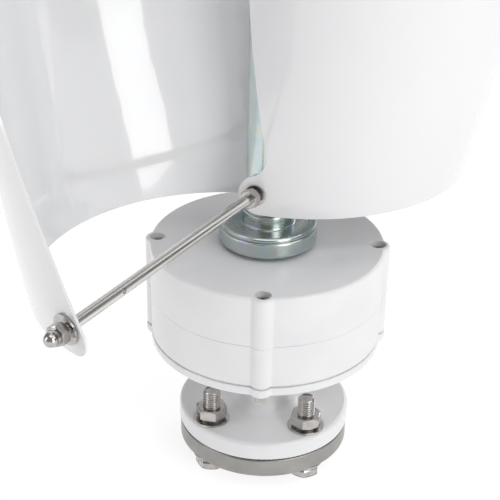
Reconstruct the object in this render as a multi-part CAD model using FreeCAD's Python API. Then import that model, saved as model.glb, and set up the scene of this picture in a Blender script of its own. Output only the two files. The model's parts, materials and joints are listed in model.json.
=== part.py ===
import FreeCAD, Part
import math
import os

# Vertical axis wind turbine: two twisted sheet blades on a steel tube, turned
# through a hub by the shaft of a flange mounted permanent magnet generator.
# Millimetres. The origin is the centre of the mast flange's underside, +Z is
# the spin axis, and the four generator bosses lie on +X, +Y, -X and -Y.

Vector = FreeCAD.Vector
Vector2d = FreeCAD.Base.Vector2d
Geom2d = Part.Geom2d
X_AXIS, Y_AXIS, Z_AXIS = Vector(1, 0, 0), Vector(0, 1, 0), Vector(0, 0, 1)

# ---------------------------------------------------------------- dimensions

# Bolted flange joint at the mast
MAST_FLANGE_RADIUS = 49.5
MAST_FLANGE_HEIGHT = 11.0
MAST_BORE_RADIUS = 17.0
SEAT_RADIUS = 27.2
SEAT_GROOVE_RADIUS = 28.2
SEAT_GROOVE_DEPTH = 0.5
GASKET_RADIUS = 49.0
GASKET_HEIGHT = 1.0
FOOT_RADIUS = 50.0
FOOT_HEIGHT = 11.0
BOLT_CIRCLE_RADIUS = 38.9
BOLT_FIRST_ANGLE = 41.0
BOLT_COUNT = 4
BOLT_RADIUS = 5.0
BOLT_HOLE_RADIUS = 5.3
BOLT_LENGTH = 45.0
BOLT_PITCH = 1.5
BOLT_HEAD_WIDTH = 16.0
BOLT_HEAD_HEIGHT = 6.4
BOLT_NUT_HEIGHT = 6.5
BOLT_WASHER_RADIUS = 10.5
BOLT_WASHER_HEIGHT = 1.2
SPRING_WASHER_RADIUS = 7.8
SPRING_WASHER_HEIGHT = 1.2
BOLT_HEAD_TURN = 18.0
BOLT_NUT_TURN = 8.0

# Generator castings
NECK_RADIUS = 17.5
NECK_BORE_RADIUS = 11.0
CASE_RADIUS = 66.0
CASE_INNER_RADIUS = 57.5
CASE_FLOOR = 66.0
LOWER_SEAM = 73.0
UPPER_SEAM = 98.0
CASE_TOP = 128.0
CASE_ROOF = 121.0
BOSS_CIRCLE_RADIUS = 62.3
BOSS_RADIUS = 6.8
BOSS_COUNT = 4
CASE_SCREW_RADIUS = 3.0
CASE_SCREW_CLEARANCE = 0.25
CASE_SCREW_HEAD_RADIUS = 4.25
CASE_SCREW_HEAD_HEIGHT = 5.0
CASE_SCREW_END = 60.0
COUNTERBORE_RADIUS = 4.5
COUNTERBORE_DEPTH = 8.0
BOSS_FILLET_RADIUS = 2.0
SEAM_ROUND = 0.5
SEAM_GROOVE_HEIGHT = 1.2
SEAM_GROOVE_DEPTH = 1.4
RIM_ROUND = 1.6

# Bearings (17 x 40 x 12) and shaft
SHAFT_RADIUS = 8.5
SHAFT_SHOULDER_RADIUS = 11.0
BEARING_RADIUS = 20.0
BEARING_WIDTH = 12.0
BEARING_INNER_RING_RADIUS = 12.2
BEARING_OUTER_RING_RADIUS = 16.3
BALL_RADIUS = 3.4
BALL_CIRCLE_RADIUS = 14.25
BALL_COUNT = 8
BALL_SEAT_GAP = 0.02
BALL_RUNNING_GAP = 0.06
BEARING_HOUSING_RADIUS = 25.0
SHOULDER_BORE_RADIUS = 14.0
LOWER_BEARING_BASE = 74.0
UPPER_BEARING_BASE = 109.0
SHAFT_BOTTOM = 69.0
SHAFT_TOP = 147.0
SEAL_BASE = 122.0
RUNNING_GAP = 0.05

# Magnets, stator core and coils
STATOR_BASE = 88.0
STATOR_HEIGHT = 18.0
TOOTH_COUNT = 9
TOOTH_WIDTH = 9.0
TOOTH_TIP_RADIUS = 38.9
TOOTH_SHOE_RADIUS = 41.2
BACK_IRON_RADIUS = 51.0
COIL_THICKNESS = 4.6
MAGNET_RADIUS = 38.1
ROTOR_CORE_RADIUS = 34.0
MAGNET_COUNT = 12

# Hub
HUB_BASE = 129.6
HUB_RADIUS = 27.6
HUB_DISC_TOP = 139.6
TUBE_FLANGE_RADIUS = 27.2
TUBE_FLANGE_TOP = 142.3
DISH_RADIUS = 22.6
DISH_DEPTH = 0.9
COLLAR_RADIUS = 14.4
COLLAR_TOP = 149.0
HUB_SCREW_CIRCLE_RADIUS = 18.5
HUB_SCREW_RADIUS = 2.5
HUB_SCREW_HEAD_RADIUS = 4.2
HUB_SCREW_HEAD_HEIGHT = 4.5
KEY_WIDTH = 5.0
KEY_LENGTH = 7.0
SET_SCREW_RADIUS = 3.0
SET_SCREW_HEIGHT = 134.6
SET_SCREW_ANGLES = (45.0, 135.0)

# Tube, tie rods and blades
TUBE_RADIUS = 12.5
TUBE_WALL = 2.5
TUBE_BASE = 142.6
TUBE_TOP = 788.0
ROD_RADIUS = 3.0
ROD_HOLE_RADIUS = 3.2
ROD_END_REACH = 10.5
ROD_FIRST_HEIGHT = 162.3
ROD_FIRST_ANGLE = -118.6
ROD_SPACING = 303.5
ROD_PIN_HOLE_RADIUS = 1.5
ROD_PIN_HOLE_PLACE = 140.0
ROD_PIN_HOLE_TILT = 18.0
SHEET_THICKNESS = 1.5
SHEET_ARC_RADIUS = 99.6
INNER_HOLE_RADIUS = 13.7
OUTER_HOLE_RADIUS = 180.4
TWIST_PER_MM = -90.0 / 630.0

# Outline of the flat blade pattern around the rod holes
EAR_RADIUS = 11.5
EAR_OFFSET = 1.5
EAR_FILLET_RADIUS = 13.0
CORNER_RADIUS = 12.3
CORNER_OFFSET = -1.8
END_DROP = 0.5
SCALLOP_RADIUS = 797.0
SCALLOP_REACH = -4.0

# M6 hardware on the tie rods
NUT_WIDTH = 10.0
NUT_HEIGHT = 5.0
ROOT_WASHER_RADIUS = 6.0
TIP_WASHER_RADIUS = 8.0
ROD_WASHER_HEIGHT = 1.2
ROD_WASHER_GAP = 0.05
NUT_STANDOFF = 3.9
NUT_BORE_GAP = 0.03
CAP_NUT_HEX_HEIGHT = 5.5
CAP_NUT_STEP_RADIUS = 4.1
CAP_NUT_STEP_HEIGHT = 7.6
CAP_NUT_DOME_RADIUS = 3.6
CAP_NUT_LENGTH = 12.0
CAP_NUT_BORE_DEPTH = 7.2

FOOT_BASE = MAST_FLANGE_HEIGHT + GASKET_HEIGHT
FOOT_TOP = FOOT_BASE + FOOT_HEIGHT
STACK_HEIGHT = BOLT_WASHER_HEIGHT + SPRING_WASHER_HEIGHT
BOLT_ANGLES = [BOLT_FIRST_ANGLE + 360.0 / BOLT_COUNT * i for i in range(BOLT_COUNT)]
BOSS_ANGLES = [360.0 / BOSS_COUNT * i for i in range(BOSS_COUNT)]
ROD_HEIGHTS = [ROD_FIRST_HEIGHT + ROD_SPACING * i for i in range(3)]
ROD_NAMES = ("tie_rod_bottom", "tie_rod_middle", "tie_rod_top")


# ------------------------------------------------------------- small helpers

def around_z(shape, angle):
    """The shape turned about the spin axis by an angle in degrees."""
    turned = shape.copy()
    turned.rotate(Vector(0, 0, 0), Z_AXIS, angle)
    return turned


def ring_of(shape, angles):
    """One copy of the shape at each angle about the spin axis."""
    return [around_z(shape, angle) for angle in angles]


def disc(radius, base, top, x=0.0, y=0.0):
    return Part.makeCylinder(radius, top - base, Vector(x, y, base), Z_AXIS)


def tube(radius, bore, base, top):
    return disc(radius, base, top).cut(disc(bore, base - 1, top + 1))


def revolve(points):
    """A full turn of a closed outline given as (radius, height) points."""
    corners = [Vector(r, 0, z) for r, z in points]
    face = Part.Face(Part.makePolygon(corners + corners[:1]))
    return face.revolve(Vector(0, 0, 0), Z_AXIS, 360)


def on_axis(shape, origin, direction):
    """Moves a shape built along +Z at the origin onto another axis."""
    placed = shape.copy()
    placed.Placement = FreeCAD.Placement(origin, FreeCAD.Rotation(Z_AXIS, direction))
    return placed


def circle_edges(shape, radius, height, tolerance=0.01):
    """Circular edges of one radius, about any axis, that lie at one height."""
    found = []
    for edge in shape.Edges:
        curve = edge.Curve
        if isinstance(curve, Part.Circle) and abs(curve.Radius - radius) < tolerance:
            if abs(curve.Center.z - height) < tolerance:
                found.append(edge)
    return found


def edges_at_height(shape, height, beyond=0.0, tolerance=0.01):
    """Edges in one horizontal plane whose middle is further out than `beyond`."""
    found = []
    for edge in shape.Edges:
        box = edge.BoundBox
        middle = edge.valueAt((edge.FirstParameter + edge.LastParameter) / 2)
        flat = abs(box.ZMin - height) < tolerance and abs(box.ZMax - height) < tolerance
        if flat and math.hypot(middle.x, middle.y) > beyond:
            found.append(edge)
    return found


def hexagon(width, height, chamfer_top=True, chamfer_base=True):
    """A hexagonal prism across its flats, with the corners turned off."""
    corner_radius = width / math.sqrt(3)
    corners = [Vector(corner_radius * math.cos(math.radians(60 * i)),
                      corner_radius * math.sin(math.radians(60 * i)), 0) for i in range(7)]
    prism = Part.Face(Part.makePolygon(corners)).extrude(Vector(0, 0, height))
    land = width / 2 * 0.97
    slope = (corner_radius - land) * math.tan(math.radians(30))
    profile = [(0, 0)]
    profile += [(land, 0), (corner_radius, slope)] if chamfer_base else [(corner_radius, 0)]
    if chamfer_top:
        profile += [(corner_radius, height - slope), (land, height)]
    else:
        profile += [(corner_radius, height)]
    return prism.common(revolve(profile + [(0, height)]))


def thread_profile(radius, start, end, pitch, depth):
    """Ridges of a thread as (radius, height) points going up a bolt."""
    points = []
    count = int((end - start) / pitch)
    for i in range(count):
        base = start + i * pitch
        points += [(radius, base + 0.1 * pitch), (radius - depth, base + 0.45 * pitch),
                   (radius - depth, base + 0.6 * pitch), (radius, base + 0.95 * pitch)]
    return points


# ------------------------------------------------- flange joint at the mast

def flange_plate(radius, bore, base, top):
    plate = tube(radius, bore, base, top)
    for hole in on_bolt_circle(disc(BOLT_HOLE_RADIUS, base - 1, top + 1)):
        plate = plate.cut(hole)
    return plate


def mast_flange():
    """Flange whose underside has a turned groove around the seat for the mast."""
    plate = flange_plate(MAST_FLANGE_RADIUS, MAST_BORE_RADIUS, 0, MAST_FLANGE_HEIGHT)
    rims = [edge for height in (0, MAST_FLANGE_HEIGHT)
            for edge in circle_edges(plate, MAST_FLANGE_RADIUS, height)]
    plate = plate.makeChamfer(0.6, rims)
    return plate.cut(tube(SEAT_GROOVE_RADIUS, SEAT_RADIUS, -1, SEAT_GROOVE_DEPTH))


def flange_gasket():
    return flange_plate(GASKET_RADIUS, MAST_BORE_RADIUS, MAST_FLANGE_HEIGHT, FOOT_BASE)


def on_bolt_circle(shape):
    """Copies of a shape built on the spin axis, one at each flange bolt."""
    placed = shape.copy()
    placed.translate(Vector(BOLT_CIRCLE_RADIUS, 0, 0))
    return ring_of(placed, BOLT_ANGLES)


def flange_bolts():
    under_head = -STACK_HEIGHT
    tip = under_head + BOLT_LENGTH
    ridges_start = FOOT_TOP + STACK_HEIGHT + BOLT_NUT_HEIGHT
    ridges_end = tip - 1.2
    shank = [(0, under_head), (BOLT_RADIUS, under_head), (BOLT_RADIUS, ridges_start - 0.3)]
    shank += thread_profile(BOLT_RADIUS, ridges_start, ridges_end, BOLT_PITCH, 0.85)
    shank += [(BOLT_RADIUS - 0.9, tip), (0, tip)]
    head = hexagon(BOLT_HEAD_WIDTH, BOLT_HEAD_HEIGHT, chamfer_top=False)
    head.rotate(Vector(0, 0, 0), Z_AXIS, BOLT_HEAD_TURN)
    head.translate(Vector(0, 0, under_head - BOLT_HEAD_HEIGHT))
    return on_bolt_circle(head.fuse(revolve(shank)))


def flange_washers():
    low = tube(BOLT_WASHER_RADIUS, BOLT_HOLE_RADIUS, -BOLT_WASHER_HEIGHT, 0)
    high = tube(BOLT_WASHER_RADIUS, BOLT_HOLE_RADIUS, FOOT_TOP, FOOT_TOP + BOLT_WASHER_HEIGHT)
    return on_bolt_circle(low) + on_bolt_circle(high)


def spring_washers():
    """Split rings with a slanted gap, squeezed flat under the heads and nuts."""
    middle = SPRING_WASHER_HEIGHT / 2
    ring = tube(SPRING_WASHER_RADIUS, BOLT_RADIUS + 0.2, -middle, middle)
    slot = Part.makeBox(6, 1.0, 8, Vector(4, -0.5, -4))
    slot.rotate(Vector(0, 0, 0), X_AXIS, 25)
    low, high = ring.cut(slot), ring.cut(slot)
    low.translate(Vector(0, 0, middle - STACK_HEIGHT))
    high.translate(Vector(0, 0, FOOT_TOP + STACK_HEIGHT - middle))
    return on_bolt_circle(low) + on_bolt_circle(high)


def flange_nuts():
    bore = disc(BOLT_RADIUS + NUT_BORE_GAP, -1, BOLT_NUT_HEIGHT + 1)
    nut = hexagon(BOLT_HEAD_WIDTH, BOLT_NUT_HEIGHT).cut(bore)
    nut.translate(Vector(0, 0, FOOT_TOP + STACK_HEIGHT))
    nut.rotate(Vector(0, 0, 0), Z_AXIS, BOLT_NUT_TURN)
    return on_bolt_circle(nut)


# --------------------------------------------------------- generator castings

def case_block(base, top, radius=CASE_RADIUS, boss_radius=BOSS_RADIUS):
    """A round block with four screw bosses blended into its wall."""
    block = disc(radius, base, top)
    for angle in BOSS_ANGLES:
        block = block.fuse(around_z(disc(boss_radius, base, top, BOSS_CIRCLE_RADIUS), angle))
    block = block.removeSplitter()
    corners = [edge for edge in block.Edges
               if edge.BoundBox.ZLength > (top - base) * 0.99 and edge.BoundBox.XLength < 0.01
               and edge.BoundBox.YLength < 0.01 and is_corner(edge, radius)]
    return block.makeFillet(BOSS_FILLET_RADIUS, corners)


def is_corner(edge, radius):
    """True where a boss meets the round wall, false for the seam of a cylinder."""
    middle = edge.valueAt((edge.FirstParameter + edge.LastParameter) / 2)
    angle = math.degrees(math.atan2(middle.y, middle.x))
    beside_boss = min(abs(angle - boss) for boss in (-180, -90, 0, 90, 180)) > 0.5
    return abs(math.hypot(middle.x, middle.y) - radius) < 0.01 and beside_boss


def screw_holes(base, top, radius):
    return ring_of(disc(radius, base, top, BOSS_CIRCLE_RADIUS), BOSS_ANGLES)


def lower_end_cover():
    """Foot flange, hollow neck and generator floor in one casting."""
    fillet_low, fillet_high = 8.0, 6.0
    foot = disc(FOOT_RADIUS, FOOT_BASE, FOOT_TOP)
    foot = foot.makeFillet(2.2, circle_edges(foot, FOOT_RADIUS, FOOT_TOP))
    foot = foot.makeFillet(0.8, circle_edges(foot, FOOT_RADIUS, FOOT_BASE))
    groove_base = LOWER_SEAM - SEAM_GROOVE_HEIGHT
    floor = case_block(CASE_FLOOR, groove_base)
    floor = floor.makeFillet(2.6, edges_at_height(floor, CASE_FLOOR))
    floor = floor.makeFillet(SEAM_ROUND, edges_at_height(floor, groove_base))
    floor = floor.fuse(case_block(groove_base - 1, LOWER_SEAM, CASE_RADIUS - SEAM_GROOVE_DEPTH,
                                  BOSS_RADIUS - SEAM_GROOVE_DEPTH))
    body = foot.fuse(disc(NECK_RADIUS, FOOT_TOP - 1, CASE_FLOOR + 1)).fuse(floor)
    body = body.makeFillet(fillet_low, circle_edges(body, NECK_RADIUS, FOOT_TOP))
    body = body.makeFillet(fillet_high, circle_edges(body, NECK_RADIUS, CASE_FLOOR))
    body = body.fuse(disc(BEARING_HOUSING_RADIUS, LOWER_SEAM - 1, LOWER_BEARING_BASE + BEARING_WIDTH))
    body = body.cut(disc(BEARING_RADIUS, LOWER_BEARING_BASE, LOWER_BEARING_BASE + BEARING_WIDTH + 1))
    body = body.cut(disc(SHOULDER_BORE_RADIUS, LOWER_BEARING_BASE - 3, LOWER_BEARING_BASE + 1))
    body = body.cut(disc(NECK_BORE_RADIUS, FOOT_BASE - 1, LOWER_BEARING_BASE))
    for hole in on_bolt_circle(disc(BOLT_HOLE_RADIUS, FOOT_BASE - 1, FOOT_TOP + 1)):
        body = body.cut(hole)
    for hole in screw_holes(CASE_FLOOR - 1, LOWER_SEAM + 1, CASE_SCREW_RADIUS + RUNNING_GAP):
        body = body.cut(hole)
    return body


def middle_housing():
    wall = case_block(LOWER_SEAM, UPPER_SEAM, CASE_RADIUS, BOSS_RADIUS - 0.2)
    rims = edges_at_height(wall, LOWER_SEAM) + edges_at_height(wall, UPPER_SEAM)
    wall = wall.makeFillet(SEAM_ROUND, rims)
    wall = wall.cut(disc(CASE_INNER_RADIUS, LOWER_SEAM - 1, UPPER_SEAM + 1))
    for hole in screw_holes(LOWER_SEAM - 1, UPPER_SEAM + 1, CASE_SCREW_RADIUS + CASE_SCREW_CLEARANCE):
        wall = wall.cut(hole)
    return wall


def upper_housing():
    block = case_block(UPPER_SEAM, CASE_TOP, CASE_RADIUS + 0.2)
    block = block.makeFillet(RIM_ROUND, edges_at_height(block, CASE_TOP))
    block = block.makeFillet(SEAM_ROUND, edges_at_height(block, UPPER_SEAM))
    block = block.cut(disc(CASE_INNER_RADIUS, UPPER_SEAM - 1, CASE_ROOF))
    block = block.fuse(disc(BEARING_HOUSING_RADIUS, UPPER_BEARING_BASE, CASE_ROOF + 1))
    block = block.cut(disc(BEARING_RADIUS, UPPER_BEARING_BASE - 1, CASE_ROOF))
    block = block.cut(disc(SHOULDER_BORE_RADIUS, CASE_ROOF - 1, CASE_TOP + 1))
    for hole in screw_holes(UPPER_SEAM - 1, CASE_TOP + 1, CASE_SCREW_RADIUS + CASE_SCREW_CLEARANCE):
        block = block.cut(hole)
    for bore in screw_holes(CASE_TOP - COUNTERBORE_DEPTH, CASE_TOP + 1, COUNTERBORE_RADIUS):
        block = block.cut(bore)
    return block


def housing_screws():
    """Long socket screws through the bosses, with their ends below the floor."""
    head_base = CASE_TOP - COUNTERBORE_DEPTH
    head_top = head_base + CASE_SCREW_HEAD_HEIGHT
    head = disc(CASE_SCREW_HEAD_RADIUS, head_base, head_top)
    head = head.makeFillet(0.5, circle_edges(head, CASE_SCREW_HEAD_RADIUS, head_top))
    socket = hexagon(4.0, 4.0, False, False)
    socket.translate(Vector(0, 0, head_top - 2.5))
    shank = disc(CASE_SCREW_RADIUS, CASE_SCREW_END, head_base + 0.5)
    shank = shank.makeChamfer(0.6, circle_edges(shank, CASE_SCREW_RADIUS, CASE_SCREW_END))
    screw = head.fuse(shank).cut(socket)
    screw.translate(Vector(BOSS_CIRCLE_RADIUS, 0, 0))
    return ring_of(screw, BOSS_ANGLES)


def shaft_seal():
    """Lip seal in the roof, bearing lightly on the shaft."""
    top = CASE_TOP - 0.2
    lip = SHAFT_RADIUS + RUNNING_GAP
    return revolve([(SHOULDER_BORE_RADIUS, SEAL_BASE), (SHOULDER_BORE_RADIUS, top), (lip + 2.2, top),
                    (lip, top - 1.6), (lip, top - 2.4), (lip + 2.0, top - 4.2), (lip + 2.0, SEAL_BASE)])


def cable_grommet():
    """Rubber bush that protects the generator leads at the foot of the neck."""
    base, height, bore = FOOT_BASE + 0.5, 9.0, 4.5
    return revolve([(bore, base), (NECK_BORE_RADIUS, base), (NECK_BORE_RADIUS, base + height),
                    (bore + 1.5, base + height), (bore, base + height - 1.5)])


# ----------------------------------------------------------- bearings, shaft

def bearing(base):
    """Inner ring, outer ring and balls of one deep groove bearing."""
    middle = base + BEARING_WIDTH / 2
    centre = Vector(0, 0, middle)
    inner = tube(BEARING_INNER_RING_RADIUS, SHAFT_RADIUS, base, base + BEARING_WIDTH)
    inner = inner.cut(Part.makeTorus(BALL_CIRCLE_RADIUS, BALL_RADIUS + BALL_RUNNING_GAP, centre))
    outer = tube(BEARING_RADIUS, BEARING_OUTER_RING_RADIUS, base, base + BEARING_WIDTH)
    outer = outer.cut(Part.makeTorus(BALL_CIRCLE_RADIUS, BALL_RADIUS + BALL_SEAT_GAP, centre))
    ball = Part.makeSphere(BALL_RADIUS, Vector(BALL_CIRCLE_RADIUS, 0, middle))
    balls = ring_of(ball, [360.0 / BALL_COUNT * i for i in range(BALL_COUNT)])
    return inner, outer, balls


def generator_shaft():
    groove_base, groove_top = LOWER_BEARING_BASE - 1.4, LOWER_BEARING_BASE - 0.1
    low_shoulder = LOWER_BEARING_BASE + BEARING_WIDTH
    shaft = revolve([
        (0, SHAFT_BOTTOM), (SHAFT_RADIUS - 1, SHAFT_BOTTOM), (SHAFT_RADIUS, SHAFT_BOTTOM + 1),
        (SHAFT_RADIUS, groove_base), (SHAFT_RADIUS - 0.6, groove_base),
        (SHAFT_RADIUS - 0.6, groove_top), (SHAFT_RADIUS, groove_top),
        (SHAFT_RADIUS, low_shoulder), (SHAFT_SHOULDER_RADIUS, low_shoulder),
        (SHAFT_SHOULDER_RADIUS, UPPER_BEARING_BASE), (SHAFT_RADIUS, UPPER_BEARING_BASE),
        (SHAFT_RADIUS, SHAFT_TOP - 1), (SHAFT_RADIUS - 1, SHAFT_TOP), (0, SHAFT_TOP)])
    return shaft.cut(hub_key())


def hub_key():
    """Key between shaft and hub, on the +X side."""
    corner = Vector(SHAFT_RADIUS - 3.0, -KEY_WIDTH / 2, HUB_BASE + 0.8)
    return Part.makeBox(KEY_WIDTH, KEY_WIDTH, KEY_LENGTH, corner)


def shaft_circlip():
    base = LOWER_BEARING_BASE - 1.35
    ring = tube(SHAFT_RADIUS + 1.9, SHAFT_RADIUS - 0.55, base, base + 1.2)
    opening = Part.makeBox(12, 7, 3, Vector(0, -3.5, base - 1))
    return ring.cut(opening)


# -------------------------------------------------- electrical machine inside

def sector(inner, outer, span, base, top):
    """Part of a ring, centred on +X and `span` degrees wide."""
    full = Part.makeCylinder(outer, top - base, Vector(0, 0, base), Z_AXIS, span)
    full = full.cut(disc(inner, base - 1, top + 1))
    return around_z(full, -span / 2)


def stator_core():
    """Laminated ring with nine teeth pointing at the magnets."""
    top = STATOR_BASE + STATOR_HEIGHT
    core = tube(CASE_INNER_RADIUS, BACK_IRON_RADIUS, STATOR_BASE, top)
    reach = BACK_IRON_RADIUS + 1 - TOOTH_SHOE_RADIUS
    tooth = Part.makeBox(reach + 1, TOOTH_WIDTH, STATOR_HEIGHT,
                         Vector(TOOTH_SHOE_RADIUS - 1, -TOOTH_WIDTH / 2, STATOR_BASE))
    shoe = sector(TOOTH_TIP_RADIUS, TOOTH_SHOE_RADIUS, 33.0, STATOR_BASE, top)
    for part in ring_of(tooth.fuse(shoe), [360.0 / TOOTH_COUNT * i for i in range(TOOTH_COUNT)]):
        core = core.fuse(part)
    return core.removeSplitter()


def stator_windings():
    """One coil around each tooth, with rounded corners."""
    inner_x, outer_x = TOOTH_SHOE_RADIUS + 1.2, BACK_IRON_RADIUS - 1.5
    half_width, half_height = TOOTH_WIDTH / 2 + 0.2, STATOR_HEIGHT / 2 + 0.2
    middle = STATOR_BASE + STATOR_HEIGHT / 2

    def block(extra):
        size = Vector(outer_x - inner_x, 2 * (half_width + extra), 2 * (half_height + extra))
        return Part.makeBox(size.x, size.y, size.z, Vector(inner_x, -size.y / 2, middle - size.z / 2))

    outer = block(COIL_THICKNESS)
    long_edges = [edge for edge in outer.Edges if edge.BoundBox.XLength > 1]
    coil = outer.makeFillet(3.0, long_edges).cut(block(0))
    return ring_of(coil, [360.0 / TOOTH_COUNT * i for i in range(TOOTH_COUNT)])


def rotor_core():
    base, top = STATOR_BASE, STATOR_BASE + STATOR_HEIGHT
    core = tube(ROTOR_CORE_RADIUS, SHAFT_SHOULDER_RADIUS, base, top)
    for i in range(6):
        core = core.cut(around_z(disc(4.5, base - 1, top + 1, 23.0), 60 * i + 30))
    return core


def rotor_magnets():
    step = 360.0 / MAGNET_COUNT
    top = STATOR_BASE + STATOR_HEIGHT
    magnet = sector(ROTOR_CORE_RADIUS, MAGNET_RADIUS, step - 3, STATOR_BASE, top)
    return ring_of(magnet, [step * i for i in range(MAGNET_COUNT)])


# ------------------------------------------------------------------------ hub

def heading(angle):
    """Horizontal unit vector at an angle in degrees from +X."""
    return Vector(math.cos(math.radians(angle)), math.sin(math.radians(angle)), 0)


def set_screw_place(angle, distance):
    return heading(angle) * distance + Vector(0, 0, SET_SCREW_HEIGHT)


def set_screw_blank(start, end, angle):
    start_point = set_screw_place(angle, start)
    return Part.makeCylinder(SET_SCREW_RADIUS, end - start, start_point, heading(angle))


def shaft_hub():
    """Lower disc of the hub, keyed to the shaft and held by set screws."""
    hub = tube(HUB_RADIUS, SHAFT_RADIUS, HUB_BASE, HUB_DISC_TOP)
    hub = hub.makeFillet(2.6, circle_edges(hub, HUB_RADIUS, HUB_BASE))
    hub = hub.makeFillet(1.2, circle_edges(hub, HUB_RADIUS, HUB_DISC_TOP))
    hub = hub.cut(hub_key())
    for screw in hub_screw_blanks(0.1):
        hub = hub.cut(screw)
    for angle in SET_SCREW_ANGLES:
        hub = hub.cut(set_screw_blank(0, HUB_RADIUS + 1, angle))
    return hub


def hub_screw_blanks(gap):
    """Four screws from below that hold the tube flange on the shaft hub."""
    base = HUB_BASE - 1 if gap else HUB_BASE + 0.3
    shoulder = HUB_BASE + HUB_SCREW_HEAD_HEIGHT
    head = disc(HUB_SCREW_HEAD_RADIUS + gap, base, shoulder)
    shank = disc(HUB_SCREW_RADIUS + gap, shoulder - 0.5, TUBE_FLANGE_TOP - 2.0 + gap)
    screw = head.fuse(shank)
    screw.translate(Vector(HUB_SCREW_CIRCLE_RADIUS, 0, 0))
    return ring_of(screw, BOSS_ANGLES)


def hub_screws():
    socket = hexagon(3.0, 3.0, False, False)
    socket.translate(Vector(HUB_SCREW_CIRCLE_RADIUS, 0, HUB_BASE - 0.5))
    sockets = ring_of(socket, BOSS_ANGLES)
    return [screw.cut(hole) for screw, hole in zip(hub_screw_blanks(0), sockets)]


def hub_set_screws():
    """Socket set screws that bear on the shaft."""
    screws = []
    for angle in SET_SCREW_ANGLES:
        body = set_screw_blank(SHAFT_RADIUS + RUNNING_GAP, HUB_RADIUS - 1.5, angle)
        socket = hexagon(3.0, 3.5, False, False)
        screws.append(body.cut(on_axis(socket, set_screw_place(angle, HUB_RADIUS - 4.5), heading(angle))))
    return screws


def tube_flange():
    """Upper disc with a raised lip, a flat dish and a collar around the tube."""
    floor, top, dish = HUB_DISC_TOP, TUBE_FLANGE_TOP, TUBE_FLANGE_TOP - DISH_DEPTH
    edge, bore = TUBE_FLANGE_RADIUS, SHAFT_RADIUS + 0.2
    flange = revolve([
        (bore, floor), (edge - 1.0, floor), (edge - 0.3, floor + 0.2), (edge, floor + 0.8),
        (edge, top - 1.1), (edge - 0.3, top - 0.5), (edge - 0.9, top - 0.1), (edge - 1.6, top),
        (DISH_RADIUS + 1.4, top), (DISH_RADIUS + 0.8, top - 0.1), (DISH_RADIUS + 0.3, top - 0.4),
        (DISH_RADIUS, dish), (COLLAR_RADIUS + 0.9, dish), (COLLAR_RADIUS + 0.3, dish + 0.2),
        (COLLAR_RADIUS, dish + 0.8), (COLLAR_RADIUS, COLLAR_TOP - 0.8),
        (COLLAR_RADIUS - 0.2, COLLAR_TOP - 0.3), (COLLAR_RADIUS - 0.7, COLLAR_TOP),
        (TUBE_RADIUS, COLLAR_TOP), (TUBE_RADIUS, TUBE_BASE), (bore, TUBE_BASE)])
    for screw in hub_screw_blanks(0.05):
        flange = flange.cut(screw)
    return flange


# -------------------------------------------------------- tube and tie rods

def rod_direction(height):
    """Unit vector along a tie rod at one height: the blades twist as they rise."""
    angle = math.radians(ROD_FIRST_ANGLE + TWIST_PER_MM * (height - ROD_FIRST_HEIGHT))
    return Vector(math.cos(angle), math.sin(angle), 0)


def rod_bar(radius, height, half_length):
    direction = rod_direction(height)
    start = Vector(0, 0, height) - direction * half_length
    return Part.makeCylinder(radius, 2 * half_length, start, direction)


def central_tube():
    body = tube(TUBE_RADIUS, TUBE_RADIUS - TUBE_WALL, TUBE_BASE, TUBE_TOP)
    for height in ROD_HEIGHTS:
        body = body.cut(rod_bar(ROD_HOLE_RADIUS, height, TUBE_RADIUS + 2))
    return body


def tube_cap():
    plug = TUBE_RADIUS - TUBE_WALL - 0.05
    return revolve([(0, TUBE_TOP - 10), (plug - 1, TUBE_TOP - 10), (plug, TUBE_TOP - 9), (plug, TUBE_TOP),
                    (TUBE_RADIUS + 0.3, TUBE_TOP), (TUBE_RADIUS + 0.3, TUBE_TOP + 1.6),
                    (TUBE_RADIUS - 1, TUBE_TOP + 2.8), (0, TUBE_TOP + 3.2)])


def tie_rod(height):
    """Rod through the tube, with a slanted cross hole in each half."""
    rod = rod_bar(ROD_RADIUS, height, OUTER_HOLE_RADIUS + ROD_END_REACH)
    direction = rod_direction(height)
    hole = Part.makeCylinder(ROD_PIN_HOLE_RADIUS, 10, Vector(0, 0, -5), Z_AXIS)
    across = Vector(-direction.y, direction.x, math.tan(math.radians(ROD_PIN_HOLE_TILT)))
    for side in (-1, 1):
        place = direction * (side * ROD_PIN_HOLE_PLACE) + Vector(0, 0, height)
        rod = rod.cut(on_axis(hole, place, across))
    return rod


# --------------------------------------------------------------------- blades

HALF_CHORD = (INNER_HOLE_RADIUS + OUTER_HOLE_RADIUS) / 2
CHORD_MIDDLE = (INNER_HOLE_RADIUS - OUTER_HOLE_RADIUS) / 2
ARC_CENTRE_OFFSET = math.sqrt(SHEET_ARC_RADIUS ** 2 - HALF_CHORD ** 2)
HALF_SPAN = math.asin(HALF_CHORD / SHEET_ARC_RADIUS)
HOLE_TO_HOLE = 2 * HALF_SPAN * SHEET_ARC_RADIUS


def sheet_point(along, height, lift=0.0):
    """Point on a blade's middle surface.

    `along` is measured around the arc from the inner rod hole to the outer
    one, and `lift` moves the point off the surface, away from the arc's centre.
    """
    angle = along / SHEET_ARC_RADIUS - HALF_SPAN
    radius = SHEET_ARC_RADIUS + lift
    down_rod = CHORD_MIDDLE - radius * math.sin(angle)
    across_rod = radius * math.cos(angle) - ARC_CENTRE_OFFSET
    direction = rod_direction(height)
    across = Vector(-direction.y, direction.x, 0)
    return direction * down_rod + across * across_rod + Vector(0, 0, height)


def sheet_normal(along, height):
    """Unit normal of the middle surface, pointing to its convex side."""
    step = 0.01
    around = sheet_point(along + step, height) - sheet_point(along - step, height)
    upward = sheet_point(along, height + step) - sheet_point(along, height - step)
    return around.cross(upward).normalize()


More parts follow.
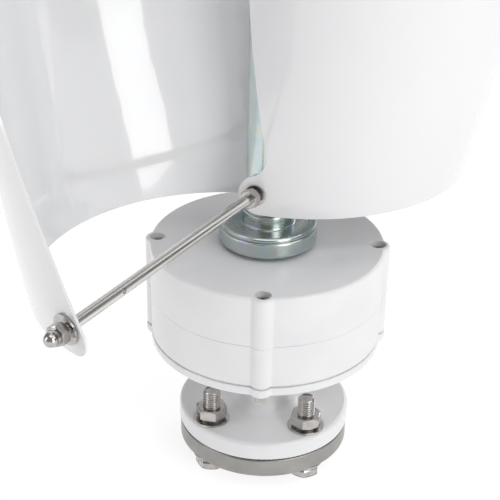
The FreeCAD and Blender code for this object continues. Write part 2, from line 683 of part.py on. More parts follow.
def concave_surface():
    """The blade's concave face as a surface whose parameters are millimetres
    around the arc and millimetres of height."""
    margin, columns, rows = 16.0, 15, 27
    start, end = -margin, HOLE_TO_HOLE + margin
    low, high = ROD_HEIGHTS[0] - 20.0, ROD_HEIGHTS[-1] + 20.0
    grid = [[sheet_point(start + (end - start) * i / (columns - 1),
                         low + (high - low) * j / (rows - 1), -SHEET_THICKNESS / 2)
             for j in range(rows)] for i in range(columns)]
    fitted = Part.BSplineSurface()
    fitted.interpolate(grid)
    surface = Part.BSplineSurface()
    surface.buildFromPolesMultsKnots(
        fitted.getPoles(), fitted.getUMultiplicities(), fitted.getVMultiplicities(),
        [start + (end - start) * knot for knot in fitted.getUKnots()],
        [low + (high - low) * knot for knot in fitted.getVKnots()],
        False, False, fitted.UDegree, fitted.VDegree)
    return surface


def polar(centre, radius, angle):
    return (centre[0] + radius * math.cos(angle), centre[1] + radius * math.sin(angle))


def leave_points(first, second):
    """Where a belt leaves one round (centre, radius, sense) and joins the next.

    Rounds of the same sense are joined by a straight line, and rounds of
    opposite sense touch each other.
    """
    (centre, radius, sense), (other, other_radius, other_sense) = first, second
    dx, dy = other[0] - centre[0], other[1] - centre[1]
    angle = math.atan2(dy, dx)
    if sense == other_sense:
        angle -= sense * math.acos((radius - other_radius) / math.hypot(dx, dy))
        return polar(centre, radius, angle), polar(other, other_radius, angle)
    touch = polar(centre, radius, angle)
    return touch, touch


def arc_curve(centre, radius, sense, start, end):
    first = math.atan2(start[1] - centre[1], start[0] - centre[0])
    last = math.atan2(end[1] - centre[1], end[0] - centre[0])
    sweep = (sense * (last - first)) % (2 * math.pi)
    middle = polar(centre, radius, first + sense * sweep / 2)
    return Geom2d.ArcOfCircle2d(Vector2d(*start), Vector2d(*middle), Vector2d(*end))


def belt_curves(rounds):
    """Closed outline of arcs and lines that runs round a list of rounds."""
    following = rounds[1:] + rounds[:1]
    joins = [leave_points(here, there) for here, there in zip(rounds, following)]
    curves = []
    for i, (here, there) in enumerate(zip(rounds, following)):
        centre, radius, sense = here
        leave, join = joins[i]
        curves.append(arc_curve(centre, radius, sense, joins[i - 1][1], leave))
        if sense == there[2]:
            curves.append(Geom2d.Line2dSegment(Vector2d(*leave), Vector2d(*join)))
    return curves


def ear_fillet(ear, scallop, side):
    """Concave round that touches an ear and the long scalloped edge."""
    reach_ear, reach_edge = ear[1] + EAR_FILLET_RADIUS, scallop[1] + EAR_FILLET_RADIUS
    dx, dy = scallop[0][0] - ear[0][0], scallop[0][1] - ear[0][1]
    distance = math.hypot(dx, dy)
    forward = (reach_ear ** 2 - reach_edge ** 2 + distance ** 2) / (2 * distance)
    sideways = side * math.sqrt(reach_ear ** 2 - forward ** 2)
    centre = (ear[0][0] + (forward * dx + sideways * dy) / distance,
              ear[0][1] + (forward * dy - sideways * dx) / distance)
    return (centre, EAR_FILLET_RADIUS, -1)


def blade_rounds():
    """The blade's outline: an ear at each tie rod, rounded outer corners, and
    a scalloped inner edge that keeps clear of the tube between the rods."""
    low, middle, high = ROD_HEIGHTS
    corner = HOLE_TO_HOLE + CORNER_OFFSET
    low_ear = ((EAR_OFFSET, low - END_DROP), EAR_RADIUS, 1)
    middle_ear = ((EAR_OFFSET, middle), EAR_RADIUS, 1)
    high_ear = ((EAR_OFFSET, high + END_DROP), EAR_RADIUS, 1)
    low_corner = ((corner, low - END_DROP), CORNER_RADIUS, 1)
    high_corner = ((corner, high + END_DROP), CORNER_RADIUS, 1)
    scallop_centre = SCALLOP_REACH + SCALLOP_RADIUS
    low_scallop = ((scallop_centre, (low + middle) / 2), SCALLOP_RADIUS, 1)
    high_scallop = ((scallop_centre, (middle + high) / 2), SCALLOP_RADIUS, 1)
    return [low_ear, low_corner, high_corner, high_ear,
            ear_fillet(high_ear, high_scallop, 1), high_scallop, ear_fillet(middle_ear, high_scallop, -1),
            middle_ear,
            ear_fillet(middle_ear, low_scallop, 1), low_scallop, ear_fillet(low_ear, low_scallop, -1)]


def blade():
    surface = concave_surface()
    edges = [curve.toShape(surface) for curve in belt_curves(blade_rounds())]
    sheet = Part.Face(surface, Part.Wire(edges))
    solid = sheet.makeOffsetShape(SHEET_THICKNESS, 0.001, fill=True)
    for height in ROD_HEIGHTS:
        solid = solid.cut(rod_bar(ROD_HOLE_RADIUS, height, OUTER_HOLE_RADIUS + 15))
    return solid


# ------------------------------------------------- hardware on the tie rods

def washer_on_sheet(along, height, radius):
    """A washer lying flat on the convex side, its centre on the rod's axis."""
    normal, direction = sheet_normal(along, height), rod_direction(height)
    shift = (SHEET_THICKNESS / 2 + ROD_WASHER_GAP) / normal.dot(direction)
    ring = tube(radius, ROD_RADIUS + 0.45, 0, ROD_WASHER_HEIGHT)
    return on_axis(ring, sheet_point(along, height) + direction * shift, normal)


def nut_on_rod(along, height, nut):
    """A nut outside the sheet, at either rod hole of a blade."""
    direction = rod_direction(height) * (1 if along == 0 else -1)
    return on_axis(nut, sheet_point(along, height) + direction * NUT_STANDOFF, direction)


def plain_nut():
    return hexagon(NUT_WIDTH, NUT_HEIGHT).cut(disc(ROD_RADIUS + NUT_BORE_GAP, -1, NUT_HEIGHT + 1))


def cap_nut():
    """Hexagon with a stepped, domed end that covers the rod's thread."""
    dome_middle = CAP_NUT_LENGTH - CAP_NUT_DOME_RADIUS
    step = disc(CAP_NUT_STEP_RADIUS, CAP_NUT_HEX_HEIGHT - 0.5, CAP_NUT_STEP_HEIGHT)
    dome = disc(CAP_NUT_DOME_RADIUS, CAP_NUT_STEP_HEIGHT - 0.5, dome_middle)
    ball = Part.makeSphere(CAP_NUT_DOME_RADIUS, Vector(0, 0, dome_middle))
    nut = hexagon(NUT_WIDTH, CAP_NUT_HEX_HEIGHT).fuse([step, dome, ball]).removeSplitter()
    return nut.cut(disc(ROD_RADIUS + NUT_BORE_GAP, -1, CAP_NUT_BORE_DEPTH))


def on_both_blades(make):
    """Calls `make` for each rod height and adds the half-turn copies."""
    shapes = [make(height) for height in ROD_HEIGHTS]
    return shapes + [around_z(shape, 180) for shape in shapes]


def root_washers():
    return on_both_blades(lambda height: washer_on_sheet(0, height, ROOT_WASHER_RADIUS))


def root_nuts():
    return on_both_blades(lambda height: nut_on_rod(0, height, plain_nut()))


def tip_washers():
    return on_both_blades(lambda height: washer_on_sheet(HOLE_TO_HOLE, height, TIP_WASHER_RADIUS))


def cap_nuts():
    return on_both_blades(lambda height: nut_on_rod(HOLE_TO_HOLE, height, cap_nut()))


# ------------------------------------------------------------------- assembly

def build_nodes():
    """Every node by name: one solid, or a list of identical solids."""
    lower_inner, lower_outer, lower_balls = bearing(LOWER_BEARING_BASE)
    upper_inner, upper_outer, upper_balls = bearing(UPPER_BEARING_BASE)
    one_blade = blade()
    nodes = {
        "mast_flange": mast_flange(), "flange_gasket": flange_gasket(),
        "flange_bolts": flange_bolts(), "flange_washers": flange_washers(),
        "spring_washers": spring_washers(), "flange_nuts": flange_nuts(),
        "lower_end_cover": lower_end_cover(), "middle_housing": middle_housing(),
        "upper_housing": upper_housing(), "housing_screws": housing_screws(),
        "shaft_seal": shaft_seal(), "cable_grommet": cable_grommet(),
        "lower_bearing_inner_ring": lower_inner, "lower_bearing_outer_ring": lower_outer,
        "lower_bearing_balls": lower_balls, "upper_bearing_inner_ring": upper_inner,
        "upper_bearing_outer_ring": upper_outer, "upper_bearing_balls": upper_balls,
        "stator_core": stator_core(), "stator_windings": stator_windings(),
        "generator_shaft": generator_shaft(), "shaft_circlip": shaft_circlip(),
        "rotor_core": rotor_core(), "rotor_magnets": rotor_magnets(),
        "hub_key": hub_key(), "shaft_hub": shaft_hub(), "hub_screws": hub_screws(),
        "hub_set_screws": hub_set_screws(), "tube_flange": tube_flange(),
        "central_tube": central_tube(), "tube_cap": tube_cap(),
        "blade_a": around_z(one_blade, 180), "blade_b": one_blade,
        "root_washers": root_washers(), "root_nuts": root_nuts(),
        "tip_washers": tip_washers(), "cap_nuts": cap_nuts(),
    }
    for name, height in zip(ROD_NAMES, ROD_HEIGHTS):
        nodes[name] = tie_rod(height)
    return nodes


def main():
    os.makedirs("parts", exist_ok=True)
    for name, shape in build_nodes().items():
        group = Part.makeCompound(shape) if isinstance(shape, list) else shape
        print(f"{name}: {len(group.Solids)} solids, {group.Volume / 1000:.2f} cm3, valid {group.isValid()}")
        group.exportStep(f"parts/{name}.step")


main()
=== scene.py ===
import json
import math

import bmesh
import bpy
from mathutils import Matrix, Vector


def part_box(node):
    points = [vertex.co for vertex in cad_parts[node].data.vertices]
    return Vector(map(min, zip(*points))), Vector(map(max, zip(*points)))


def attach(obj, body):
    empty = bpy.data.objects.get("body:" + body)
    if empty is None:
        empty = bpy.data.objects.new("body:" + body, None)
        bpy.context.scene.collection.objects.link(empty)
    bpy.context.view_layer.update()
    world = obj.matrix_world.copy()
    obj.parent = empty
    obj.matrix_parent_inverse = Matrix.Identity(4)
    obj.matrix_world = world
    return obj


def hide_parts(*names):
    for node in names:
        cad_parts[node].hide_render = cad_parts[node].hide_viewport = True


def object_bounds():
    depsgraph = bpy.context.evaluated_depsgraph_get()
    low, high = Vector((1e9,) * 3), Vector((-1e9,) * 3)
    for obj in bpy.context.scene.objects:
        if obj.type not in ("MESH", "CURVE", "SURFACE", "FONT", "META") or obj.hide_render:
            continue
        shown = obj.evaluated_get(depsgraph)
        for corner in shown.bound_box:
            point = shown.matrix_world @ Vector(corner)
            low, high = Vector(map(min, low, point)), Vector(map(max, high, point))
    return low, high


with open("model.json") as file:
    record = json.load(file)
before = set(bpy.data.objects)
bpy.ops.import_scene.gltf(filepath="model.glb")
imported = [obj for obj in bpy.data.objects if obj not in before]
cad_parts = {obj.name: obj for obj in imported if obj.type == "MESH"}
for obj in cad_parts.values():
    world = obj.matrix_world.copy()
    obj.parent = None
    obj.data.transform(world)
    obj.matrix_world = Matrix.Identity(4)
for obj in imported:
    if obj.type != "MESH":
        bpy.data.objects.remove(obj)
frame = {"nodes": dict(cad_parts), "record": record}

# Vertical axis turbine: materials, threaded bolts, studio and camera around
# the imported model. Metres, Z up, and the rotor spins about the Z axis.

CAD_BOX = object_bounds()
MM = 0.001
FULL_TURN = 2 * math.pi


# ------------------------------------------------------------ material helpers

class Material:
    """A Principled material with short ways to add procedural detail.

    The first colour and roughness are plain values. The methods color and
    roughness put a node's output in their place.
    """

    def __init__(self, name, color, metallic=0.0, roughness=0.5, **sockets):
        self.data = bpy.data.materials.new(name)
        self.data.use_nodes = True
        self.nodes = self.data.node_tree.nodes
        self.links = self.data.node_tree.links
        self.shader = self.nodes["Principled BSDF"]
        self.shader.inputs["Base Color"].default_value = (*color, 1)
        self.shader.inputs["Metallic"].default_value = metallic
        self.shader.inputs["Roughness"].default_value = roughness
        for socket, value in sockets.items():
            self.shader.inputs[socket.replace("_", " ")].default_value = value
        self.place = self.nodes.new("ShaderNodeTexCoord").outputs["Object"]
        self.normal = None

    def feed(self, socket, value):
        """Sets a socket to a number, or links it to another node's output."""
        if isinstance(value, (int, float)):
            socket.default_value = value
        else:
            self.links.new(value, socket)

    def math(self, operation, *values):
        """One arithmetic step on numbers or node outputs."""
        node = self.nodes.new("ShaderNodeMath")
        node.operation = operation
        for socket, value in zip(node.inputs, values):
            self.feed(socket, value)
        return node.outputs[0]

    def vector_math(self, operation, vector, output):
        """One vector step on the object coordinates."""
        node = self.nodes.new("ShaderNodeVectorMath")
        node.operation = operation
        self.links.new(self.place, node.inputs[0])
        node.inputs[1].default_value = vector
        return node.outputs[output]

    def combined(self, *values):
        """A vector from up to three node outputs."""
        node = self.nodes.new("ShaderNodeCombineXYZ")
        for socket, value in zip(node.inputs, values):
            self.links.new(value, socket)
        return node.outputs[0]

    def stretched(self, scale):
        """Object coordinates multiplied by a vector."""
        return self.vector_math("MULTIPLY", scale, "Vector")

    def turned(self, ring_scale, height_scale):
        """Coordinates that repeat as rings about the spin axis, for lathe marks."""
        split = self.nodes.new("ShaderNodeSeparateXYZ")
        self.links.new(self.place, split.inputs[0])
        x, y, z = split.outputs
        squares = self.math("ADD", self.math("MULTIPLY", x, x), self.math("MULTIPLY", y, y))
        radius = self.math("MULTIPLY", self.math("SQRT", squares), ring_scale)
        return self.combined(radius, self.math("MULTIPLY", z, height_scale))

    def drawn(self, angle, across_scale, along_scale):
        """Coordinates stretched along a horizontal direction, for drawing marks and painted highlight lines.
        """
        cos, sin = math.cos(math.radians(angle)), math.sin(math.radians(angle))
        axes = ((cos * along_scale, sin * along_scale, 0),
                (-sin * across_scale, cos * across_scale, 0),
                (0, 0, across_scale))
        return self.combined(*(self.vector_math("DOT_PRODUCT", axis, "Value") for axis in axes))

    def noise(self, scale, detail=2.0, vector=None, roughness=0.5):
        """Smooth noise, from 0 to 1 and mostly near 0.5."""
        node = self.nodes.new("ShaderNodeTexNoise")
        node.inputs["Scale"].default_value = scale
        node.inputs["Detail"].default_value = detail
        node.inputs["Roughness"].default_value = roughness
        self.links.new(vector or self.place, node.inputs["Vector"])
        return node.outputs["Fac"]

    def ramp(self, factor, stops):
        """A colour that follows the factor through (position, colour) stops."""
        node = self.nodes.new("ShaderNodeValToRGB")
        elements = node.color_ramp.elements
        while len(elements) < len(stops):
            elements.new(0.5)
        for element, (position, color) in zip(elements, stops):
            element.position = position
            element.color = (*color, 1)
        self.links.new(factor, node.inputs[0])
        return node.outputs["Color"]

    def spread(self, factor, low, high, start=0.3, end=0.7):
        """Maps the middle of a noise to a range of values."""
        node = self.nodes.new("ShaderNodeMapRange")
        node.inputs["From Min"].default_value = start
        node.inputs["From Max"].default_value = end
        node.inputs["To Min"].default_value = low
        node.inputs["To Max"].default_value = high
        self.links.new(factor, node.inputs["Value"])
        return node.outputs["Result"]

    def color(self, value):
        """Links the base colour."""
        self.links.new(value, self.shader.inputs["Base Color"])

    def roughness(self, value):
        """Links the roughness."""
        self.links.new(value, self.shader.inputs["Roughness"])

    def bump(self, height, depth, strength=1.0):
        """Adds a relief of `depth` metres on top of any earlier relief."""
        node = self.nodes.new("ShaderNodeBump")
        node.inputs["Strength"].default_value = strength
        node.inputs["Distance"].default_value = depth
        self.links.new(height, node.inputs["Height"])
        if self.normal is not None:
            self.links.new(self.normal, node.inputs["Normal"])
        self.normal = node.outputs["Normal"]
        self.links.new(self.normal, self.shader.inputs["Normal"])


# ------------------------------------------------------------------- materials

def painted_casting():
    """Semi-gloss white powder coat with a fine orange peel."""
    paint = Material("white_casting", (0.76, 0.76, 0.765), 0.0, 0.36, Coat_Weight=0.25, Coat_Roughness=0.18)
    patches = paint.noise(35, detail=3)
    paint.color(paint.ramp(patches, [(0.30, (0.74, 0.74, 0.75)), (0.70, (0.78, 0.78, 0.785))]))
    paint.roughness(paint.spread(paint.noise(140, detail=4), 0.30, 0.42))
    paint.bump(paint.noise(1300), 0.03 * MM, 0.35)
    paint.bump(paint.noise(120), 0.05 * MM, 0.25)
    return paint.data


def painted_sheet():
    """Gloss white paint on thin sheet, very slightly wavy."""
    paint = Material("white_sheet", (0.78, 0.78, 0.785), 0.0, 0.2, Coat_Weight=1.0, Coat_Roughness=0.05,
                     Coat_IOR=1.6)
    patches = paint.noise(12, detail=3)
    paint.color(paint.ramp(patches, [(0.30, (0.745, 0.745, 0.755)), (0.70, (0.77, 0.77, 0.778))]))
    paint.roughness(paint.spread(paint.noise(60, detail=4), 0.15, 0.24))
    paint.bump(paint.noise(900), 0.02 * MM, 0.2)
    waves = paint.noise(9, detail=1, vector=paint.stretched((1.0, 1.0, 0.5)))
    paint.bump(waves, 1.2 * MM, 0.25)
    return paint.data


def turned_steel():
    """Satin stainless with lathe marks around the axis."""
    steel = Material("flange_steel", (0.38, 0.365, 0.35), 1.0, 0.34)
    marks = steel.noise(1.0, detail=3, vector=steel.turned(2600.0, 2600.0), roughness=0.7)
    patches = steel.noise(60, detail=4)
    steel.color(steel.ramp(patches, [(0.3, (0.29, 0.28, 0.268)), (0.7, (0.37, 0.358, 0.345))]))
    steel.roughness(steel.spread(marks, 0.28, 0.46))
    steel.bump(marks, 0.05 * MM, 0.35)
    return steel.data


def bright_steel():
    """Bright stainless with a fine grain and slightly darker patches."""
    color, roughness = (0.53, 0.51, 0.49), 0.18
    steel = Material("fastener_steel", color, 1.0, roughness)
    dark = tuple(0.8 * channel for channel in color)
    steel.color(steel.ramp(steel.noise(220, detail=5), [(0.32, dark), (0.62, color)]))
    steel.roughness(steel.spread(steel.noise(900, detail=3), roughness - 0.05, roughness + 0.1))
    steel.bump(steel.noise(2400, detail=3, roughness=0.7), 0.02 * MM, 0.3)
    return steel.data


def rod_steel(name, heading):
    """Drawn stainless rod: drawing marks along its length in the relief, and painted highlights and dark
    reflection lines along it in the colour.
    """
    steel = Material(name, (0.72, 0.70, 0.67), 1.0, 0.18)
    along_rod = steel.drawn(heading, across_scale=2300.0, along_scale=9.0)
    drawing_marks_and_painted_glints = steel.noise(1.0, detail=3, vector=along_rod, roughness=0.75)
    # Painted highlights and dark reflection lines along the rod, in the colour.
    steel.color(steel.ramp(drawing_marks_and_painted_glints, [(0.34, (0.44, 0.42, 0.40)), (0.50, (0.70, 0.68, 0.655)),
                                     (0.66, (0.84, 0.825, 0.80))]))
    steel.roughness(steel.spread(steel.noise(160, detail=3), 0.13, 0.24))
    steel.bump(drawing_marks_and_painted_glints, 0.03 * MM, 0.35)
    return steel.data


def zinc_plate(name, tone, is_turned):
    """Clear zinc plate: bluish, with faint yellow and violet clouds, over turned or drawn steel."""
    def toned(color):
        return tuple(tone * channel for channel in color)

    zinc = Material(name, toned((0.60, 0.70, 0.71)), 1.0, 0.22)
    cloud_colors = [(0.28, (0.50, 0.61, 0.65)), (0.42, (0.61, 0.72, 0.74)), (0.52, (0.68, 0.73, 0.67)),
                    (0.62, (0.65, 0.67, 0.75)), (0.74, (0.67, 0.78, 0.80))]
    clouds = zinc.noise(48, detail=4, roughness=0.6)
    zinc.color(zinc.ramp(clouds, [(position, toned(color)) for position, color in cloud_colors]))
    if is_turned:
        marks = zinc.noise(1.0, detail=2, vector=zinc.turned(900.0, 900.0), roughness=0.6)
    else:
        marks = zinc.noise(1.0, detail=3, vector=zinc.stretched((900.0, 900.0, 14.0)), roughness=0.7)
    zinc.roughness(zinc.spread(marks, 0.17, 0.29))
    zinc.bump(marks, 0.04 * MM, 0.14)
    zinc.bump(zinc.noise(300, detail=3), 0.03 * MM, 0.2)
    return zinc.data


def ground_steel():
    """Smooth bearing steel with faint grinding rings."""
    steel = Material("bearing_steel", (0.60, 0.60, 0.61), 1.0, 0.12)
    marks = steel.noise(1.0, detail=2, vector=steel.turned(3500.0, 900.0), roughness=0.6)
    steel.roughness(steel.spread(marks, 0.08, 0.2))
    steel.color(steel.ramp(steel.noise(90, detail=3), [(0.3, (0.54, 0.54, 0.56)), (0.7, (0.62, 0.62, 0.63))]))
    steel.bump(marks, 0.01 * MM, 0.2)
    return steel.data


def black_rubber():
    """Matt black rubber with a dusty grain."""
    rubber = Material("rubber", (0.03, 0.03, 0.03), 0.0, 0.75)
    patches = rubber.noise(500, detail=4)
    rubber.color(rubber.ramp(patches, [(0.3, (0.02, 0.02, 0.02)), (0.7, (0.045, 0.045, 0.047))]))
    rubber.roughness(rubber.spread(rubber.noise(900, detail=3), 0.62, 0.85))
    rubber.bump(rubber.noise(1500, detail=3), 0.05 * MM, 0.5)
    return rubber.data


def laminations():
    """Stacked electrical steel: thin layers across the axis."""
    steel = Material("lamination", (0.30, 0.30, 0.31), 1.0, 0.45)
    layers = steel.noise(1.0, detail=1, vector=steel.stretched((4.0, 4.0, 2000.0)))
    steel.color(steel.ramp(layers, [(0.4, (0.16, 0.16, 0.17)), (0.55, (0.36, 0.36, 0.37))]))
    steel.roughness(steel.spread(layers, 0.38, 0.6))
    steel.bump(layers, 0.1 * MM, 0.6)
    return steel.data


def copper_wire():
    """Enamelled wire, with its strands as rings about the axis."""
    copper = Material("copper", (0.62, 0.24, 0.10), 1.0, 0.28, Coat_Weight=0.8, Coat_Roughness=0.1)
    strands = copper.noise(1.0, detail=1, vector=copper.turned(1500.0, 1500.0))
    copper.color(copper.ramp(strands, [(0.35, (0.38, 0.12, 0.05)), (0.65, (0.72, 0.30, 0.13))]))
    copper.roughness(copper.spread(strands, 0.22, 0.4))
    copper.bump(strands, 0.3 * MM, 0.8)
    return copper.data


def nickel_magnet():
    """Nickel-plated magnet, slightly warm and uneven."""
    nickel = Material("magnet", (0.56, 0.55, 0.53), 1.0, 0.25)
    patches = nickel.noise(150, detail=4)
    nickel.color(nickel.ramp(patches, [(0.3, (0.48, 0.47, 0.45)), (0.7, (0.60, 0.59, 0.57))]))
    nickel.roughness(nickel.spread(nickel.noise(400, detail=3), 0.18, 0.32))
    nickel.bump(nickel.noise(1200), 0.02 * MM, 0.3)
    return nickel.data


def moulded_plastic():
    """Black moulded plastic with a fine spark-eroded texture."""
    plastic = Material("cap_plastic", (0.035, 0.035, 0.037), 0.0, 0.5)
    patches = plastic.noise(300, detail=4)
    plastic.color(plastic.ramp(patches, [(0.3, (0.028, 0.028, 0.03)), (0.7, (0.05, 0.05, 0.052))]))
    plastic.roughness(plastic.spread(plastic.noise(700, detail=3), 0.4, 0.6))
    plastic.bump(plastic.noise(2200), 0.05 * MM, 0.5)
    return plastic.data


def spring_steel():
    """Dark steel, a little blued; the darkness is painted shade, the shadowed ring under the nuts."""
    # Painted shade: the dark colour stands in for the shadowed ring under the nuts.
    steel = Material("spring_steel", (0.16, 0.15, 0.15), 1.0, 0.4)
    patches = steel.noise(260, detail=4)
    steel.color(steel.ramp(patches, [(0.3, (0.10, 0.10, 0.105)), (0.7, (0.21, 0.20, 0.19))]))
    steel.roughness(steel.spread(steel.noise(700, detail=3), 0.32, 0.5))
    steel.bump(steel.noise(1800), 0.02 * MM, 0.4)
    return steel.data


# The finish of each material slot.
MATERIALS = {
    "white_casting": painted_casting(),
    "white_sheet": painted_sheet(),
    "flange_steel": turned_steel(),
    "fastener_steel": bright_steel(),
    "spring_steel": spring_steel(),
    "zinc_steel": zinc_plate("zinc_turned", tone=0.74, is_turned=True),
    "bearing_steel": ground_steel(),
    "rubber": black_rubber(),
    "lamination": laminations(),
    "copper": copper_wire(),
    "magnet": nickel_magnet(),
    "cap_plastic": moulded_plastic(),
}

# Nodes whose marks run another way than their slot's finish. The tie rods'
# directions, in degrees, turn with the blades from one rod to the next.
ROD_HEADINGS = {"bottom": -118.6, "middle": -161.96, "top": -205.31}
SPECIAL = {"central_tube": zinc_plate("zinc_drawn", tone=0.92, is_turned=False)}
for level, heading in ROD_HEADINGS.items():
    SPECIAL[f"tie_rod_{level}"] = rod_steel(f"rod_{level}", heading)


def dress_cad_nodes():
    """Gives every CAD node its own finish, or else the finish of its material slot."""
    slots = {part["node"]: part["material_slot"] for part in frame["record"]["subparts"]}
    for name, node in frame["nodes"].items():
        finish = SPECIAL.get(name) or MATERIALS[slots[name]]
        node.data.materials.clear()
        node.data.materials.append(finish)


# ----------------------------------------------------------------- flange bolts

BOLT_COUNT = 4
BOLT_FIRST_ANGLE = 41
BOLT_CIRCLE_RADIUS = 38.9 * MM
SHANK_RADIUS = 5 * MM

HEAD_HEIGHT = 6.4 * MM
HEAD_FLATS = 16 * MM
HEAD_TURN = math.radians(18)
HEAD_SIDE_ANGLE = math.pi / 3
HEAD_BEVEL = math.tan(math.radians(30))
HEAD_LAND_RADIUS = 0.95 * HEAD_FLATS / 2
# The dished end of the head: shares of the land's radius, and the dish's depth there
HEAD_DISH = ((0.35, 0.35 * MM), (0.80, 0.25 * MM), (0.93, 0), (1, 0))

THREAD_PITCH = 1.5 * MM
THREAD_DEPTH = 0.85 * MM
THREAD_START = 31 * MM
THREAD_RUN_IN = 0.1 * MM
# The flank is a straight line, in thread depths: its rise for each pitch away
# from the middle of the root, and how far below the root the line lies there
FLANK_RISE = 2.9
FLANK_DROP = 0.28
TIP_CONE_LENGTH = 1.1 * MM
TIP_CONE_SLOPE = 0.95

SEGMENTS = 96
RINGS_PER_PITCH = 12
SMOOTH_ANGLE = math.radians(28)


def hex_radius(angle):
    """Distance from the head's centre to its side in one direction."""
    from_flat = (angle - HEAD_TURN) % HEAD_SIDE_ANGLE - HEAD_SIDE_ANGLE / 2
    return HEAD_FLATS / 2 / math.cos(from_flat)


def thread_radius(angle, height, top):
    """Radius of the helical thread, with the end of the bolt turned to a cone."""
    turn = (height / THREAD_PITCH - angle / FULL_TURN) % 1.0
    ridge = min(1.0, max(0.0, abs(turn - 0.5) * FLANK_RISE - FLANK_DROP))
    radius = SHANK_RADIUS - THREAD_DEPTH * (1 - ridge)
    cone = SHANK_RADIUS - TIP_CONE_SLOPE * (height - (top - TIP_CONE_LENGTH))
    return min(radius, cone)


def add_ring(mesh, place):
    """A ring of vertices; place gives the radius and height at an angle."""
    ring = []
    for i in range(SEGMENTS):
        angle = FULL_TURN * i / SEGMENTS
        radius, height = place(angle)
        ring.append(mesh.verts.new((radius * math.cos(angle), radius * math.sin(angle), height)))
    return ring


def join_rings(mesh, rings):
    """A closed skin through a row of rings, with a face on each end."""
    for low, high in zip(rings, rings[1:]):
        for i in range(SEGMENTS):
            j = (i + 1) % SEGMENTS
            mesh.faces.new((low[i], low[j], high[j], high[i]))
    mesh.faces.new(list(reversed(rings[0])))
    mesh.faces.new(rings[-1])


def bolt_mesh(bottom, top):
    """Hexagon bolt from the bottom of its head to the tip of its thread."""
    under_head = bottom + HEAD_HEIGHT

    def bevel(angle):
        radius = hex_radius(angle)
        return radius, bottom + (radius - HEAD_LAND_RADIUS) * HEAD_BEVEL

    mesh = bmesh.new()
    rings = [add_ring(mesh, lambda angle: (share * HEAD_LAND_RADIUS, bottom + depth))
             for share, depth in HEAD_DISH]
    rings.append(add_ring(mesh, bevel))
    rings.append(add_ring(mesh, lambda angle: (hex_radius(angle), under_head)))
    rings.append(add_ring(mesh, lambda angle: (SHANK_RADIUS, under_head)))
    rings.append(add_ring(mesh, lambda angle: (SHANK_RADIUS, THREAD_START - THREAD_RUN_IN)))
    count = int((top - THREAD_START) / (THREAD_PITCH / RINGS_PER_PITCH))
    for step in range(count + 1):
        height = THREAD_START + (top - THREAD_START) * step / count
        rings.append(add_ring(mesh, lambda angle: (thread_radius(angle, height, top), height)))
    join_rings(mesh, rings)
    for edge in mesh.edges:
        edge.smooth = edge.calc_face_angle(0) < SMOOTH_ANGLE
    for face in mesh.faces:
        face.smooth = True
    bmesh.ops.recalc_face_normals(mesh, faces=mesh.faces)
    return mesh


def flange_bolts():
    """The four flange bolts with their real helical thread."""
    low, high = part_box("flange_bolts")
    mesh = bolt_mesh(low.z, high.z)
    data = bpy.data.meshes.new("threaded_bolt")
    mesh.to_mesh(data)
    mesh.free()
    data.materials.append(MATERIALS["fastener_steel"])
    for i in range(BOLT_COUNT):
        bolt = bpy.data.objects.new(f"threaded_bolt_{i + 1}", data.copy())
        turn = math.radians(BOLT_FIRST_ANGLE + 360 * i / BOLT_COUNT)
        bolt.matrix_world = Matrix.Rotation(turn, 4, "Z") @ Matrix.Translation((BOLT_CIRCLE_RADIUS, 0, 0))
        bpy.context.scene.collection.objects.link(bolt)
        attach(bolt, "generator_base")
        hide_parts("flange_bolts")


# --------------------------------------------------------------- studio, camera

FLOOR_SIZE = 40
FLOOR_CELLS = 8
FLOOR_GLOW = 0.82
SKY_COLOR = (0.98, 0.99, 1.0, 1)
SKY_STRENGTH = 0.27

# Softboxes: place, the point they face, width and height, and power in watts
SOFTBOXES = {
    "key": ((0.50, -0.62, 0.40), (0, 0, 0.3), (0.36, 0.82), 2.9),
    "top": ((0.15, -0.1, 1.6), (0, 0, 0.1), (1.2, 1.2), 7),
    "left": ((-1.2, -0.5, 0.6), (0, 0, 0.2), (0.5, 1.0), 4.2),
    "high_right": ((1.0, -0.3, 1.1), (0, 0, 0.1), (0.7, 0.7), 2.6),
    "rim": ((0.9, 1.2, 0.7), (0, 0, 0.1), (0.9, 0.7), 6),
}

# The photograph's viewpoint, before it is turned by the azimuth about the Z axis
CAMERA_PLACE = Vector((-0.00983, -0.71513, 0.50571))
CAMERA_AZIMUTH = math.radians(2.28)
CAMERA_ELEVATION = math.radians(28.25)
CAMERA_ROLL = math.radians(1.10)
CAMERA_LENS = 103.2
CAMERA_SENSOR = 36.0
CAMERA_NEAREST = 0.05


def softbox(name, location, target, size, power):
    """A rectangular area light that faces the target."""
    data = bpy.data.lights.new(name, "AREA")
    data.shape = "RECTANGLE"
    data.size, data.size_y = size
    data.energy = power
    light = bpy.data.objects.new(name, data)
    light.location = location
    light.rotation_euler = (Vector(target) - Vector(location)).to_track_quat("-Z", "Y").to_euler()
    bpy.context.scene.collection.objects.link(light)


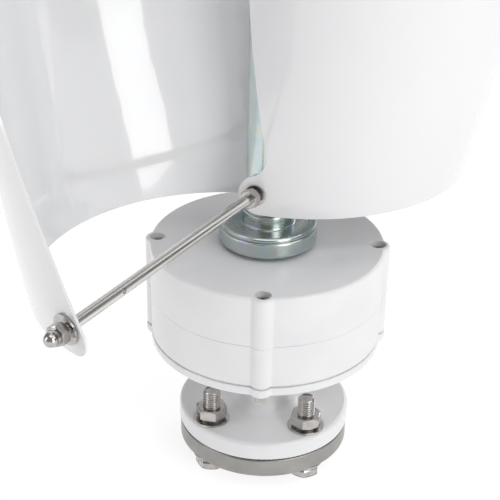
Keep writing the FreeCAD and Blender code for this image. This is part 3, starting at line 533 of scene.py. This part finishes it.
def floor():
    """A white table that glows a little, as a lit backdrop does."""
    bpy.ops.mesh.primitive_grid_add(x_subdivisions=FLOOR_CELLS, y_subdivisions=FLOOR_CELLS,
                                    size=FLOOR_SIZE, location=(0, 0, CAD_BOX[0].z))
    table = bpy.context.object
    table.name = "floor"
    paint = Material("floor_white", (0.3, 0.3, 0.3), 0.0, 0.8)
    paint.color(paint.ramp(paint.noise(3, detail=3), [(0.3, (0.29, 0.29, 0.29)), (0.7, (0.31, 0.31, 0.31))]))
    paint.shader.inputs["Emission Color"].default_value = (1, 1, 1, 1)
    paint.shader.inputs["Emission Strength"].default_value = FLOOR_GLOW
    paint.shader.inputs["Specular IOR Level"].default_value = 0.0
    table.data.materials.append(paint.data)


def studio():
    """A white table under a soft top light, with softboxes around it and an even sky."""
    floor()
    world = bpy.data.worlds.new("studio")
    world.use_nodes = True
    background = world.node_tree.nodes["Background"]
    background.inputs["Color"].default_value = SKY_COLOR
    background.inputs["Strength"].default_value = SKY_STRENGTH
    bpy.context.scene.world = world
    for name, settings in SOFTBOXES.items():
        softbox(name, *settings)


def camera():
    """The photograph's camera: it looks down on the turbine, with a slight roll."""
    turn = Matrix.Rotation(CAMERA_AZIMUTH, 3, "Z")
    forward = turn @ Vector((0, math.cos(CAMERA_ELEVATION), -math.sin(CAMERA_ELEVATION)))
    level = turn @ Vector((1, 0, 0))
    upward = level.cross(forward)
    right = level * math.cos(CAMERA_ROLL) + upward * math.sin(CAMERA_ROLL)
    up = upward * math.cos(CAMERA_ROLL) - level * math.sin(CAMERA_ROLL)
    data = bpy.data.cameras.new("camera")
    data.sensor_width = CAMERA_SENSOR
    data.lens = CAMERA_LENS
    data.clip_start = CAMERA_NEAREST
    view = bpy.data.objects.new("camera", data)
    axes = Matrix((right, up, -forward)).transposed()
    view.matrix_world = Matrix.Translation(turn @ CAMERA_PLACE) @ axes.to_4x4()
    bpy.context.scene.collection.objects.link(view)
    bpy.context.scene.camera = view


dress_cad_nodes()
flange_bolts()
studio()
camera()
bpy.context.scene.view_settings.view_transform = "Standard"
